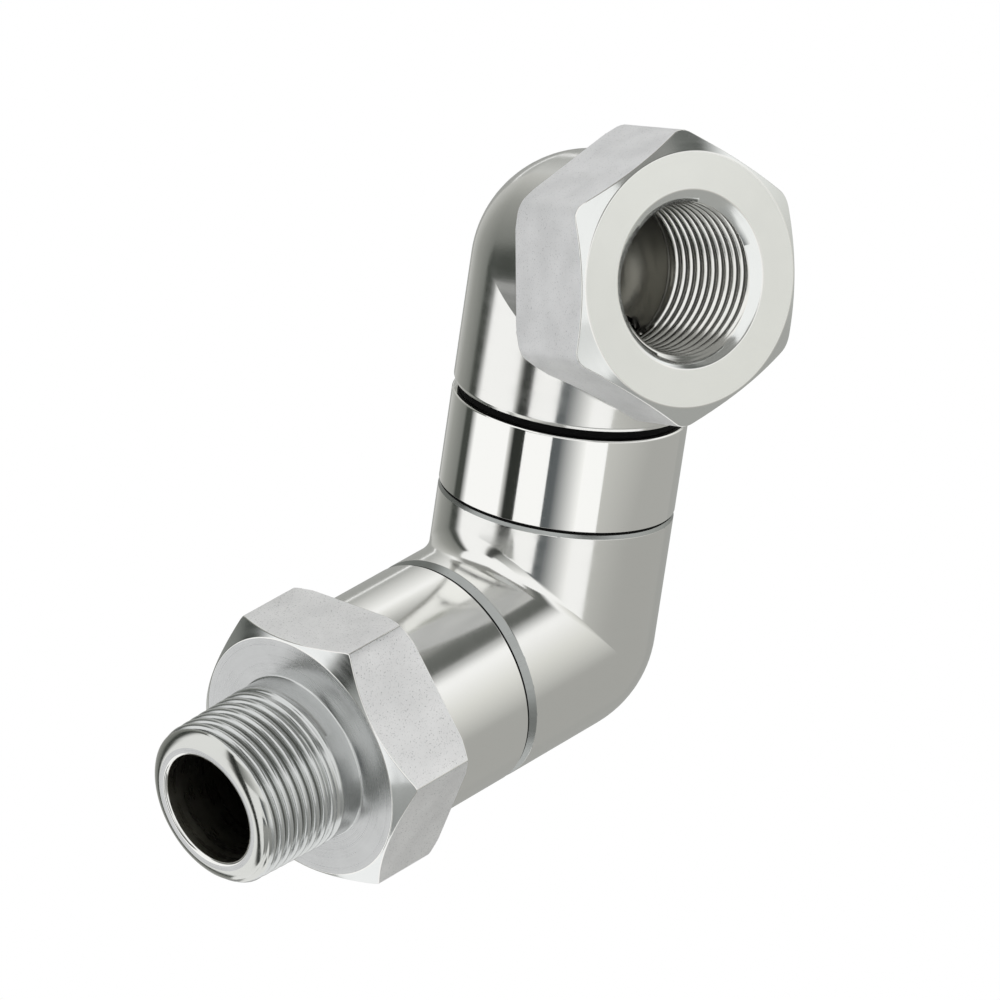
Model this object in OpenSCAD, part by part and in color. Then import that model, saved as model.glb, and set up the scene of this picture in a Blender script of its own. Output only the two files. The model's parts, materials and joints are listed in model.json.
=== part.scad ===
// Gas swivel fitting: a hexagon inlet adapter, a mitred elbow with a journal at each end,
// and an outlet elbow with a hexagon socket. Each journal turns in a sealed bearing housing.
// Origin: on the inlet thread's axis, at its hand-tight gauge plane. The nipple points to -X.

/* [Layout] */
// Outside diameter of the elbows and both bearing housings
barrel_d = 37.5; // [35:0.1:40]
// Diameter of the gas passage
passage_d = 18; // [14:0.1:18.4]
// Angle that each elbow turns the gas through
bend = 75; // [60:1:90]
// Distance from the elbows' axis crossings to the middle elbow's mouths
leg_len = 21.35; // [20.5:0.05:26]
// Distance from the outlet elbow's axis crossing to its lower mouth
outlet_leg_len = 20.55; // [19.5:0.05:26]
// Turn of the outlet elbow about its swivel as it stands
outlet_turn = -102.7; // [-180:0.1:180]
// Turn of the inlet hexagon about its axis as it stands
hex_turn = 35; // [0:1:60]

/* [Inlet adapter] */
// Length of the threaded nipple, from its end to the hexagon
nipple_len = 20.05; // [18:0.05:24]
// Diameter over the thread's crests at the gauge plane
nipple_d = 26.6; // [24:0.05:28]
// Distance from the nipple's end to the hand-tight gauge plane
gauge_len = 8.6; // [6:0.1:12]
// Length of the plain neck between the thread and the hexagon
neck_len = 2.2; // [1:0.1:4]
// Depth of the neck below the thread's crests
neck_depth = 0.5; // [0.2:0.05:1.2]
// Radial width of the lead chamfer at the nipple's end
nipple_lead = 1.5; // [0.4:0.1:2]
// Length of the lead chamfer along the nipple
nipple_lead_len = 1.3; // [0.4:0.1:2]
// Distance across the flats of the inlet hexagon
inlet_flats = 40.5; // [39:0.1:46]
// Length of the inlet hexagon
inlet_hex_len = 14.5; // [10:0.1:20]
// Plain length of the inlet bearing housing, from the hexagon to the elbow's gap
inlet_barrel_len = 17.05; // [16.3:0.05:24]
// Radius of the turned circle on the inlet hexagon's front face
inlet_face_r = 20; // [18:0.05:20.1]
// Length of the front chamfer on the inlet hexagon's corners
inlet_chamfer_len = 2.5; // [1:0.1:4]
// Length of the rear chamfer on the inlet hexagon's corners
inlet_rear_chamfer = 0.9; // [0.3:0.1:2]

/* [Outlet socket] */
// Distance across the flats of the outlet hexagon
outlet_flats = 40.5; // [39:0.1:46]
// Distance from the outlet elbow's axis crossing to the socket's face
socket_reach = 26.35; // [25:0.05:34]
// Length of the outlet hexagon over its flats
outlet_hex_len = 17.9; // [12:0.1:18.5]
// Radius of the turned circle on the outlet hexagon's face
outlet_face_r = 19.75; // [18:0.05:20.1]
// Length of the front chamfer on the outlet hexagon's corners
outlet_chamfer_len = 2.3; // [1:0.1:4]
// Length of the rear chamfer on the outlet hexagon's corners
outlet_rear_chamfer = 1; // [0.3:0.1:2]
// Diameter of the smooth entry of the socket
entry_d = 27.7; // [25:0.1:30]
// Depth of the smooth entry of the socket
entry_depth = 1.5; // [0.5:0.1:3]
// Diameter inside the outlet thread's crests
socket_d = 23.6; // [21:0.1:24]
// Length of the threaded wall of the socket
socket_len = 18.6; // [14:0.1:19]
// Diameter of the cored chamber behind the socket's thread
chamber_d = 21.6; // [18.6:0.1:22]

/* [Elbow mouths] */
// Radial width of the chamfer round each mouth
mouth_chamfer = 0.8; // [0.3:0.05:1.2]
// Length of the chamfer round each mouth
mouth_chamfer_len = 1.5; // [0.5:0.1:2.5]

/* [Swivel bearings] */
// Diameter of the journals on the middle elbow
journal_d = 27.2; // [26:0.1:28]
// Gap between the turning faces of a swivel
swivel_gap = 0.5; // [0.3:0.05:1]
// Radial clearance of running fits
running_clearance = 0.05; // [0.03:0.005:0.1]
// Length of the front bearing bush
front_bush_len = 3.4; // [2:0.1:3.6]
// Wall of the front bearing bush
front_bush_wall = 1.15; // [0.6:0.05:1.4]
// Length of the rear bearing bush
rear_bush_len = 2.4; // [1.5:0.1:2.8]
// Depth of the journal's step that takes the rear bearing bush
rear_bush_wall = 1.1; // [0.6:0.05:1.3]
// Thickness of the thrust washer
thrust_t = 1; // [0.7:0.05:1.4]
// Radial width of the thrust washer
thrust_w = 1.9; // [1.4:0.1:2.1]
// Thickness of the split retaining ring
ring_t = 1.5; // [1:0.1:1.7]
// Depth of the retaining ring's groove in the journal
ring_groove_depth = 1.1; // [0.6:0.05:1.4]
// Radial width of the split retaining ring
ring_w = 1.9; // [1.4:0.05:2.1]
// Width of the slit in the retaining ring
ring_slit = 4; // [2:0.5:8]
// Section diameter of the squeezed o-rings
o_ring_t = 1.45; // [1.2:0.05:1.6]
// Width of the glands that hold the o-rings
gland_w = 2; // [1.8:0.05:2.2]
// Width of the lands between the journal's grooves
land_w = 0.6; // [0.4:0.05:0.7]
// Section width of the dust seal
dust_w = 1; // [0.6:0.05:1.2]
// Depth of the dust seal's groove in the elbow's mouth
dust_depth = 1.1; // [0.6:0.05:1.6]

/* [Outlet joint] */
// Length of the outlet bearing housing between its two faces
outlet_housing_len = 15.15; // [15.1:0.05:22]
// Radial width of the chamfer on the outlet housing's upper edge
housing_chamfer = 0.5; // [0.2:0.05:1]
// Thickness of the squeezed gasket under the outlet elbow
gasket_t = 1.4; // [1:0.05:2.5]
// Depth that the gasket lies below the barrel's surface
gasket_inset = 0.8; // [0.3:0.05:1.5]
// Diameter of the screwed spigot on the outlet housing
spigot_d = 30.5; // [28:0.1:31.5]
// Length of the screwed spigot past the gasket
spigot_len = 6.5; // [4:0.1:7]

/* [Hidden] */
$fn = 96;

// Finishes
plated = [0.72, 0.72, 0.70];
polished = [0.78, 0.78, 0.77];
bronze = [0.70, 0.52, 0.30];
spring_steel = [0.45, 0.46, 0.48];
nitrile = [0.06, 0.06, 0.06];
acetal = [0.92, 0.91, 0.88];

barrel_r = barrel_d / 2;
passage_r = passage_d / 2;
journal_r = journal_d / 2;
nipple_r = nipple_d / 2;
// Clearance of a piece held still in its seat
seat_clearance = 0.02;
// Width of a housing's face between its thrust washer and its dust seal
dust_margin = 0.5;
// How far a cutting shape runs past the face that it cuts
past = 1;
// How far an elbow's corner stands proud of its legs, and how far they run into it
ball_proud = 0.05;
leg_root = 0.5;

// Places along a journal, measured from the elbow's mouth outwards
thrust_clearance = 0.05;
thrust_floor = thrust_t + 2 * thrust_clearance;
front_bush_start = thrust_floor;
front_bush_end = front_bush_start + front_bush_len;
ring_start = front_bush_end + land_w;
ring_play = 0.1;
ring_end = ring_start + ring_t + 2 * ring_play;
gland_a = ring_end + land_w;
gland_b = gland_a + gland_w + land_w;
journal_step = gland_b + gland_w + land_w;
rear_bush_end = journal_step + rear_bush_len;
journal_len = rear_bush_end + thrust_clearance;
bearing_depth = journal_len + thrust_clearance;

// Radii of the bearing parts
seal_bore_r = journal_r + running_clearance;
front_seat_r = seal_bore_r + front_bush_wall;
thrust_in_r = journal_r + 4 * running_clearance;
thrust_out_r = thrust_in_r + thrust_w;
thrust_seat_r = thrust_out_r + 2 * running_clearance;
dust_in_r = thrust_seat_r + dust_margin;
dust_out_r = dust_in_r + dust_w;
gland_r = journal_r - o_ring_t;
ring_groove_r = journal_r - ring_groove_depth;
ring_in_r = ring_groove_r + running_clearance;
ring_out_r = ring_in_r + ring_w;
ring_seat_r = ring_out_r + ring_groove_depth / 2;
step_r = journal_r - rear_bush_wall;
nose_lead = 0.6;

// Places along the inlet axis and the swivel axes, in the row's frame
hex_front = nipple_len - gauge_len;
hex_rear = hex_front + inlet_hex_len;
barrel_end = hex_rear + inlet_barrel_len;
middle_x = barrel_end + swivel_gap + leg_len;
lean = 90 - bend;
housing_top = leg_len + swivel_gap + outlet_housing_len;
outlet_mouth = housing_top + gasket_t;
outlet_centre = outlet_mouth + outlet_leg_len;
socket_rear = socket_reach - outlet_hex_len;

// Stands children on the inlet's axis, with +Z from the middle elbow's centre to the nipple
module on_inlet_axis() {
    translate([middle_x, 0, 0]) rotate([0, -90, 0]) children();
}

// Stands children on the outlet swivel's axis, with +Z from the middle elbow's centre upwards
module on_outlet_axis() {
    translate([middle_x, 0, 0]) rotate([0, lean, 0]) children();
}

// The same two axes with the children's origin at the middle elbow's mouth
module at_inlet_mouth() {
    on_inlet_axis() translate([0, 0, leg_len]) children();
}

module at_outlet_mouth() {
    on_outlet_axis() translate([0, 0, leg_len]) children();
}

// Stands children at the outlet elbow's centre, with +Z down its lower leg
module at_outlet_centre() {
    on_outlet_axis() translate([0, 0, outlet_centre]) rotate([0, 0, outlet_turn])
        rotate([0, 180, 0]) children();
}

// Turns children from an elbow's first leg, along +Z, to its second leg
module on_second_leg() {
    rotate([0, bend - 180, 0]) rotate([0, 0, 180]) children();
}

// A plain ring along +Z
module ring(out_r, in_r, from, to) {
    translate([0, 0, from]) difference() {
        cylinder(r = out_r, h = to - from);
        translate([0, 0, -past]) cylinder(r = in_r, h = to - from + 2 * past);
    }
}

// A hexagon prism along +Z whose corners are turned back to a cone at each end
module turned_hexagon(flats, len, face_r, rear_chamfer, front_chamfer) {
    corner_r = flats / 2 / cos(30);
    front_slope = (corner_r - face_r) / front_chamfer;
    rear_slope = tan(60);
    intersection() {
        cylinder(r = corner_r, h = len, $fn = 6);
        rotate_extrude() polygon([
            [0, 0],
            [corner_r - rear_chamfer * rear_slope, 0],
            [corner_r + past * rear_slope, rear_chamfer + past],
            [corner_r + past * front_slope, len - front_chamfer - past],
            [face_r, len],
            [0, len]
        ]);
    }
}

// The outside of an elbow's corner, a ball a hair proud of the legs so that the surfaces cross
module corner_ball() {
    sphere(r = barrel_r + ball_proud);
}

// One leg of an elbow along +Z, from inside the corner's ball to its chamfered mouth
module elbow_leg(len) {
    rotate_extrude() polygon([
        [0, -leg_root],
        [barrel_r, -leg_root],
        [barrel_r, len - mouth_chamfer_len],
        [barrel_r - mouth_chamfer, len],
        [0, len]
    ]);
}

// The bearing journal that stands out of a middle elbow's mouth, along +Z
module journal() {
    translate([0, 0, leg_len]) rotate_extrude() polygon([
        [0, -past],
        [journal_r, -past],
        [journal_r, ring_start],
        [ring_groove_r, ring_start],
        [ring_groove_r, ring_end],
        [journal_r, ring_end],
        [journal_r, gland_a],
        [gland_r, gland_a],
        [gland_r, gland_a + gland_w],
        [journal_r, gland_a + gland_w],
        [journal_r, gland_b],
        [gland_r, gland_b],
        [gland_r, gland_b + gland_w],
        [journal_r, gland_b + gland_w],
        [journal_r, journal_step],
        [step_r, journal_step],
        [step_r, journal_len - nose_lead],
        [step_r - nose_lead, journal_len],
        [0, journal_len]
    ]);
}

// The space inside a bearing housing, along +Z from the elbow's mouth
module housing_cavity() {
    rotate_extrude() polygon([
        [0, swivel_gap - past],
        [thrust_seat_r, swivel_gap - past],
        [thrust_seat_r, thrust_floor],
        [front_seat_r, thrust_floor],
        [front_seat_r, front_bush_end],
        [seal_bore_r, front_bush_end],
        [seal_bore_r, ring_start],
        [ring_seat_r, ring_start],
        [ring_seat_r, ring_end],
        [seal_bore_r, ring_end],
        [seal_bore_r, bearing_depth],
        [0, bearing_depth]
    ]);
}

// The pieces of a swivel, each along +Z from the elbow's mouth

module dust_seal() {
    ring(dust_out_r - running_clearance, dust_in_r + running_clearance,
        thrust_clearance - dust_depth, swivel_gap - thrust_clearance);
}

module thrust_washer() {
    ring(thrust_out_r, thrust_in_r, thrust_clearance, thrust_floor - thrust_clearance);
}

module front_bush() {
    ring(front_seat_r - seat_clearance, seal_bore_r,
        front_bush_start + thrust_clearance, front_bush_end - seat_clearance);
}

module rear_bush() {
    ring(seal_bore_r - seat_clearance, step_r + running_clearance,
        journal_step + thrust_clearance, rear_bush_end);
}

module retaining_ring() {
    difference() {
        ring(ring_out_r, ring_in_r, ring_start + ring_play, ring_end - ring_play);
        translate([0, -ring_slit / 2, ring_start])
            cube([ring_out_r + past, ring_slit, ring_end - ring_start]);
    }
}

module o_ring(gland_start) {
    translate([0, 0, gland_start + gland_w / 2]) rotate_extrude()
        translate([gland_r + o_ring_t / 2, 0]) circle(r = o_ring_t / 2 - seat_clearance);
}

module inlet_adapter() {
    total = barrel_end + gauge_len;
    crest_end = nipple_len - neck_len;
    color(plated) on_inlet_axis() translate([0, 0, leg_len + swivel_gap]) difference() {
        union() {
            cylinder(r = barrel_r, h = inlet_barrel_len + past);
            translate([0, 0, inlet_barrel_len]) rotate([0, 0, hex_turn])
                turned_hexagon(inlet_flats, inlet_hex_len, inlet_face_r,
                    inlet_rear_chamfer, inlet_chamfer_len);
            translate([0, 0, total]) mirror([0, 0, 1]) rotate_extrude() polygon([
                [0, 0],
                [nipple_r - nipple_lead, 0],
                [nipple_r, nipple_lead_len],
                [nipple_r, crest_end],
                [nipple_r - neck_depth, crest_end + neck_depth],
                [nipple_r - neck_depth, nipple_len + past],
                [0, nipple_len + past]
            ]);
        }
        translate([0, 0, -swivel_gap]) housing_cavity();
        cylinder(r = passage_r, h = total + past);
    }
}

module middle_elbow() {
    color(plated) on_outlet_axis() difference() {
        union() {
            corner_ball();
            elbow_leg(leg_len);
            journal();
            on_second_leg() {
                elbow_leg(leg_len);
                journal();
            }
        }
        sphere(r = passage_r + ball_proud);
        elbow_cuts();
        on_second_leg() elbow_cuts();
    }
}

// What is cut from each leg of the middle elbow: the passage and the dust seal's groove
module elbow_cuts() {
    translate([0, 0, -leg_root])
        cylinder(r = passage_r, h = leg_root + leg_len + journal_len + past);
    translate([0, 0, leg_len]) ring(dust_out_r, dust_in_r, -dust_depth, past);
}

module outlet_housing() {
    body_top = swivel_gap + outlet_housing_len;
    spigot_top = body_top + gasket_t + spigot_len;
    color(polished) on_outlet_axis() translate([0, 0, leg_len]) difference() {
        rotate_extrude() polygon([
            [0, swivel_gap],
            [barrel_r, swivel_gap],
            [barrel_r, body_top - housing_chamfer],
            [barrel_r - housing_chamfer, body_top],
            [spigot_d / 2, body_top],
            [spigot_d / 2, spigot_top - nose_lead],
            [spigot_d / 2 - nose_lead, spigot_top],
            [0, spigot_top]
        ]);
        housing_cavity();
        cylinder(r = passage_r, h = spigot_top + past);
    }
}

module outlet_gasket() {
    color(nitrile) on_outlet_axis()
        ring(barrel_r - gasket_inset, spigot_d / 2 + seat_clearance,
            housing_top, outlet_mouth);
}

module outlet_elbow() {
    socket_r = spigot_d / 2 + running_clearance;
    spigot_room = spigot_len + 2 * running_clearance;
    wall_end = socket_reach - entry_depth - socket_len;
    color(plated) at_outlet_centre() difference() {
        union() {
            corner_ball();
            elbow_leg(outlet_leg_len);
            on_second_leg() {
                translate([0, 0, -leg_root])
                    cylinder(r = barrel_r, h = socket_rear + leg_root + past);
                translate([0, 0, socket_rear])
                    turned_hexagon(outlet_flats, outlet_hex_len, outlet_face_r,
                        outlet_rear_chamfer, outlet_chamfer_len);
            }
        }
        cylinder(r = passage_r, h = outlet_leg_len + past);
        translate([0, 0, outlet_leg_len - spigot_room])
            cylinder(r = socket_r, h = spigot_room + past);
        sphere(r = chamber_d / 2 + ball_proud);
        on_second_leg() {
            translate([0, 0, -leg_root])
                cylinder(r = chamber_d / 2, h = leg_root + wall_end + past);
            translate([0, 0, wall_end])
                cylinder(r = socket_d / 2, h = socket_len + past);
            translate([0, 0, socket_reach - entry_depth])
                cylinder(r = entry_d / 2, h = entry_depth + past);
        }
    }
}

module inlet_dust_seal() {
    color(nitrile) at_inlet_mouth() dust_seal();
}

module inlet_thrust_washer() {
    color(acetal) at_inlet_mouth() thrust_washer();
}

module inlet_front_bush() {
    color(bronze) at_inlet_mouth() front_bush();
}

module inlet_retaining_ring() {
    color(spring_steel) at_inlet_mouth() retaining_ring();
}

module inlet_front_o_ring() {
    color(nitrile) at_inlet_mouth() o_ring(gland_a);
}

module inlet_rear_o_ring() {
    color(nitrile) at_inlet_mouth() o_ring(gland_b);
}

module inlet_rear_bush() {
    color(bronze) at_inlet_mouth() rear_bush();
}

module outlet_dust_seal() {
    color(nitrile) at_outlet_mouth() dust_seal();
}

module outlet_thrust_washer() {
    color(acetal) at_outlet_mouth() thrust_washer();
}

module outlet_front_bush() {
    color(bronze) at_outlet_mouth() front_bush();
}

module outlet_retaining_ring() {
    color(spring_steel) at_outlet_mouth() retaining_ring();
}

module outlet_front_o_ring() {
    color(nitrile) at_outlet_mouth() o_ring(gland_a);
}

module outlet_rear_o_ring() {
    color(nitrile) at_outlet_mouth() o_ring(gland_b);
}

module outlet_rear_bush() {
    color(bronze) at_outlet_mouth() rear_bush();
}

inlet_adapter();
inlet_dust_seal();
inlet_thrust_washer();
inlet_front_bush();
inlet_retaining_ring();
inlet_front_o_ring();
inlet_rear_o_ring();
inlet_rear_bush();
middle_elbow();
outlet_dust_seal();
outlet_thrust_washer();
outlet_front_bush();
outlet_retaining_ring();
outlet_front_o_ring();
outlet_rear_o_ring();
outlet_rear_bush();
outlet_housing();
outlet_gasket();
outlet_elbow();
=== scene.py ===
# %% [markdown]
# # A gas swivel fitting
#
# The real object is turned, milled and polished steel with a bright nickel plating: a
# threaded nipple with a spanner hexagon, an elbow that swivels at both ends, a polished
# bearing collar, a black gasket, and a second elbow with a threaded hexagon socket.
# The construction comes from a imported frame, which holds every body at its real size.
# This lesson dresses it: it makes the visible pieces again with finer surfaces, real
# threads and rounded edges, and gives every piece a finish.

import json
import math

import bmesh
import bpy
from mathutils import Matrix, Vector


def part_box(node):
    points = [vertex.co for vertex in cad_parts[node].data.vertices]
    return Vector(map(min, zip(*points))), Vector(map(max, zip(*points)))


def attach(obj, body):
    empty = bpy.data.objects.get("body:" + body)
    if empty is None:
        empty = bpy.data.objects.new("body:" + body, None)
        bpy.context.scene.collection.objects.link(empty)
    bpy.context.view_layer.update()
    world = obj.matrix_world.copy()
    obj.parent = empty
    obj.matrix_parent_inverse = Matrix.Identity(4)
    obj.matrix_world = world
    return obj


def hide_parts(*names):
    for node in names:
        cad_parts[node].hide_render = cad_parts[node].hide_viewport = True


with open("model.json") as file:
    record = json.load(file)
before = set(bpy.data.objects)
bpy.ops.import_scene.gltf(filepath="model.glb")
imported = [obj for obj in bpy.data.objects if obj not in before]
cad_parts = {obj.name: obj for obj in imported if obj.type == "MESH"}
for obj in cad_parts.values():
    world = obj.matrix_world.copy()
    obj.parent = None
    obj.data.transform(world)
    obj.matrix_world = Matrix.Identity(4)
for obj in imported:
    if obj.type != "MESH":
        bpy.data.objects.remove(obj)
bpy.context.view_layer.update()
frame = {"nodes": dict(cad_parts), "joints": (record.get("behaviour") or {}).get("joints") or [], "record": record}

# %% [markdown]
# ## Places
#
# A fitting is laid out along pipe axes, so each piece is modelled upright, along +Z, and
# then stood on its own axis. The axes come from the frame's joints and mounts, which means
# that nothing is placed by eye. Lengths here are in millimetres, as a turner would
# have them, and the finished meshes are scaled to metres.

# %% The axes of the fitting
MM = 0.001
joints = {joint["name"]: joint for joint in frame["joints"]}
mounts = {mount["name"]: mount for mount in frame["record"]["mounts"]}
crossing = Vector(joints["outlet_swivel"]["pos_m"]) / MM
swivel_axis = Vector(joints["outlet_swivel"]["axis"]).normalized()
inlet_axis = Vector(mounts["inlet_thread"]["axis"]).normalized()
socket_axis = Vector(mounts["outlet_thread"]["axis"]).normalized()
BEND = math.pi - inlet_axis.angle(swivel_axis)

LEG = 21.35
OUTLET_LEG = 20.55
SWIVEL_GAP = 0.5
COLLAR = 15.15
GASKET = 1.4
gasket_foot = LEG + SWIVEL_GAP + COLLAR
outlet_centre = crossing + swivel_axis * (gasket_foot + GASKET + OUTLET_LEG)


def stand(origin, up, side):
    """The matrix that stands a piece's +Z along up and its +X as near side as it can be."""
    z = up.normalized()
    y = z.cross(side).normalized()
    turned = Matrix((y.cross(z), y, z)).transposed().to_4x4()
    turned.translation = origin
    return turned


on_inlet = stand(crossing, inlet_axis, Vector((0, 0, 1)))
on_swivel = stand(crossing, swivel_axis, -inlet_axis)
on_outlet = stand(outlet_centre, -swivel_axis, -socket_axis)
on_socket = stand(outlet_centre, socket_axis, swivel_axis)
print("bend", round(math.degrees(BEND), 2), "outlet centre", [round(c, 2) for c in outlet_centre])

# %% [markdown]
# ## Camera
#
# The photograph looks down at the fitting from its front left, through a long lens, with
# the camera rolled a little. Aiming an empty rotation at a point keeps those numbers
# readable: where it looks, from which side, from how high and from how far.

# %% The camera
LOOK_AT = Vector((68.08, 10.34, 16.72))
CAMERA_SIDE = math.radians(-44.93)
CAMERA_HEIGHT = math.radians(29.88)
CAMERA_ROLL = math.radians(-2.72)
CAMERA_DISTANCE = 1273.7
LENS = 289.62

camera = bpy.data.objects.new("camera", bpy.data.cameras.new("camera"))
bpy.context.scene.collection.objects.link(camera)
camera.data.lens = LENS
camera.data.sensor_width = 36
camera.data.clip_end = 10
turn = (
    Matrix.Rotation(CAMERA_SIDE, 4, "Z")
    @ Matrix.Rotation(math.pi / 2 - CAMERA_HEIGHT, 4, "X")
    @ Matrix.Rotation(CAMERA_ROLL, 4, "Z")
)
camera.matrix_world = (
    Matrix.Translation(LOOK_AT * MM) @ turn @ Matrix.Translation((0, 0, CAMERA_DISTANCE * MM))
)
bpy.context.scene.camera = camera
print("camera at", [round(c, 3) for c in camera.matrix_world.translation])

# %% [markdown]
# ## Finishes
#
# All that shows but the black seals is plated steel, so what tells pieces apart is how each
# surface was cut: polished barrels, faces turned on a lathe, flats blasted matt, and
# threads. One function turns the hex colours that a painter would name into the linear
# light that a shader wants, and one adds a node with its settings and links.


# %% Helpers for the finishes
def linear(hex_colour, alpha=1.0):
    """An sRGB hex colour, such as "#c8c9c4", as linear red, green, blue and alpha."""
    parts = [int(hex_colour[i : i + 2], 16) / 255 for i in (1, 3, 5)]
    return [c / 12.92 if c <= 0.04045 else ((c + 0.055) / 1.055) ** 2.4 for c in parts] + [alpha]


def add(tree, kind, links=None, values=None, **settings):
    """Adds a node, sets its attributes and socket values, and links its inputs."""
    node = tree.nodes.new(kind)
    for name, value in settings.items():
        setattr(node, name, value)
    for socket, value in (values or {}).items():
        node.inputs[socket].default_value = value
    for socket, output in (links or {}).items():
        tree.links.new(output, node.inputs[socket])
    return node


def new_material(name, **values):
    """A material with a Principled shader, whose uniform values sit on its own sockets."""
    material = bpy.data.materials.new(name)
    material.use_nodes = True
    shader = material.node_tree.nodes["Principled BSDF"]
    for socket, value in values.items():
        shader.inputs[socket.replace("_", " ")].default_value = value
    return material, material.node_tree, shader


print("white is", linear("#ffffff"), "mid grey is", round(linear("#808080")[0], 3))

# %% [markdown]
# ### Cut metal
#
# A lathe leaves fine rings round its axis. They stretch each highlight across the rings,
# which is why a turned face shows bright wedges. The shader does this with anisotropy,
# and its tangent has to run round the piece's own axis, so it is worked out from the place
# on the surface: the axis crossed with the way out from it. The rings themselves are a
# one-dimensional noise along the radius and along the axis, which is what a tool leaves. A
# real tool's rings are 0.1 mm apart or less: these are drawn coarser, so that they show.


# %% Turned and polished nickel
def turned_metal(name, frame_matrix, colour, roughness, anisotropy, ring_mm, depth, mottle=0.03):
    """Nickel plating on turned steel, with tool rings ring_mm apart round frame_matrix's axis."""
    material, tree, shader = new_material(
        name, Base_Color=linear(colour), Metallic=1.0, Roughness=roughness, Anisotropic=anisotropy
    )
    links = tree.links
    place = add(tree, "ShaderNodeTexCoord").outputs["Object"]
    upright = frame_matrix.copy()
    upright.translation *= MM
    local = add(
        tree,
        "ShaderNodeMapping",
        {"Vector": place},
        {
            "Location": upright.translation,
            "Rotation": upright.to_euler(),
        },
        vector_type="TEXTURE",
    ).outputs["Vector"]
    axis = frame_matrix.to_3x3() @ Vector((0, 0, 1))
    outward = add(
        tree, "ShaderNodeVectorMath", {0: place}, {1: upright.translation}, operation="SUBTRACT"
    ).outputs["Vector"]
    round_axis = add(
        tree, "ShaderNodeVectorMath", {1: outward}, {0: axis}, operation="CROSS_PRODUCT"
    ).outputs["Vector"]
    tangent = add(
        tree,
        "ShaderNodeVectorTransform",
        {"Vector": round_axis},
        vector_type="VECTOR",
        convert_from="OBJECT",
        convert_to="WORLD",
    ).outputs["Vector"]
    links.new(tangent, shader.inputs["Tangent"])
    split = add(tree, "ShaderNodeSeparateXYZ", {"Vector": local})
    flat = add(tree, "ShaderNodeCombineXYZ", {"X": split.outputs["X"], "Y": split.outputs["Y"]})
    radius = add(tree, "ShaderNodeVectorMath", {0: flat.outputs["Vector"]}, operation="LENGTH")
    along = add(
        tree, "ShaderNodeMath", {0: radius.outputs["Value"], 1: split.outputs["Z"]}, operation="ADD"
    ).outputs["Value"]
    rings = add(
        tree,
        "ShaderNodeTexNoise",
        {"W": along},
        {"Scale": 1 / (ring_mm * MM), "Detail": 3.0, "Roughness": 0.6},
        noise_dimensions="1D",
    ).outputs["Fac"]
    clouds = add(
        tree, "ShaderNodeTexNoise", {"Vector": local}, {"Scale": 1 / (4.0 * MM), "Detail": 4.0}
    ).outputs["Fac"]
    mixed = add(
        tree,
        "ShaderNodeMath",
        {0: rings, 1: clouds},
        operation="ADD",
    ).outputs["Value"]
    wear = add(
        tree,
        "ShaderNodeMapRange",
        {"Value": mixed},
        {
            "From Min": 0.7,
            "From Max": 1.3,
            "To Min": max(roughness - mottle, 0.02),
            "To Max": roughness + mottle,
        },
    ).outputs["Result"]
    links.new(wear, shader.inputs["Roughness"])
    bump = add(
        tree, "ShaderNodeBump", {"Height": rings}, {"Strength": 1.0, "Distance": depth * MM}
    ).outputs["Normal"]
    links.new(bump, shader.inputs["Normal"])
    return material


# Buffed as it turned: clean bands along the barrel, with slightly soft edges.
polished_inlet = turned_metal(
    "polished_nickel_inlet", on_inlet, "#f3f3f0",
    roughness=0.12, anisotropy=0.4, ring_mm=0.35, depth=0.0004, mottle=0.02,
)
# Buffed by hand on a wheel: no rings, and bands that bend smoothly round the ball.
polished_middle = turned_metal(
    "polished_nickel_middle", on_swivel, "#f1f1ee",
    roughness=0.13, anisotropy=0.0, ring_mm=3.0, depth=0.0010, mottle=0.03,
)
# Buffed to a mirror: the brightest piece, whose bands have sharp edges.
polished_collar = turned_metal(
    "mirror_nickel_collar", on_swivel, "#f7f7f4",
    roughness=0.06, anisotropy=0.2, ring_mm=0.5, depth=0.0003, mottle=0.02,
)
# The middle elbow's hand buff again, a shade softer.
polished_outlet = turned_metal(
    "polished_nickel_outlet", on_outlet, "#f1f1ee",
    roughness=0.14, anisotropy=0.0, ring_mm=3.0, depth=0.0010, mottle=0.03,
)
# Faced on a lathe: fine rings, and bright and dark wedges that run out from the axis.
turned_inlet = turned_metal(
    "turned_nickel_inlet", on_inlet, "#cccdcd",
    roughness=0.25, anisotropy=0.7, ring_mm=0.35, depth=0.0040, mottle=0.05,
)
# Corners cut with a sharper tool: smoother than the face, so that each one flashes whole.
chamfer_inlet = turned_metal(
    "turned_chamfer_inlet", on_inlet, "#eceeed",
    roughness=0.15, anisotropy=0.3, ring_mm=0.30, depth=0.0012, mottle=0.04,
)
# A fine facing cut: an even, pale ring with little shine.
turned_outlet = turned_metal(
    "turned_nickel_socket", on_socket, "#f2f3ef",
    roughness=0.34, anisotropy=0.4, ring_mm=0.20, depth=0.0010, mottle=0.04,
)
# The socket's corner cut: bright, with soft edges to what it mirrors.
chamfer_outlet = turned_metal(
    "turned_chamfer_socket", on_socket, "#eceeec",
    roughness=0.17, anisotropy=0.2, ring_mm=0.30, depth=0.0012, mottle=0.05,
)
# A thread cut with a die: a thin bright line along each crest.
thread_inlet = turned_metal(
    "cut_thread_nickel_inlet", on_inlet, "#d6d8d7",
    roughness=0.20, anisotropy=0.3, ring_mm=0.30, depth=0.0006, mottle=0.04,
)
# A tapped thread, lit from its mouth: pale crests over dark grooves, whose feet carry painted shade.
thread_outlet = turned_metal(
    "cut_thread_nickel_socket", on_socket, "#eeeeea",
    roughness=0.18, anisotropy=0.0, ring_mm=0.30, depth=0.0006, mottle=0.04,
)
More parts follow.
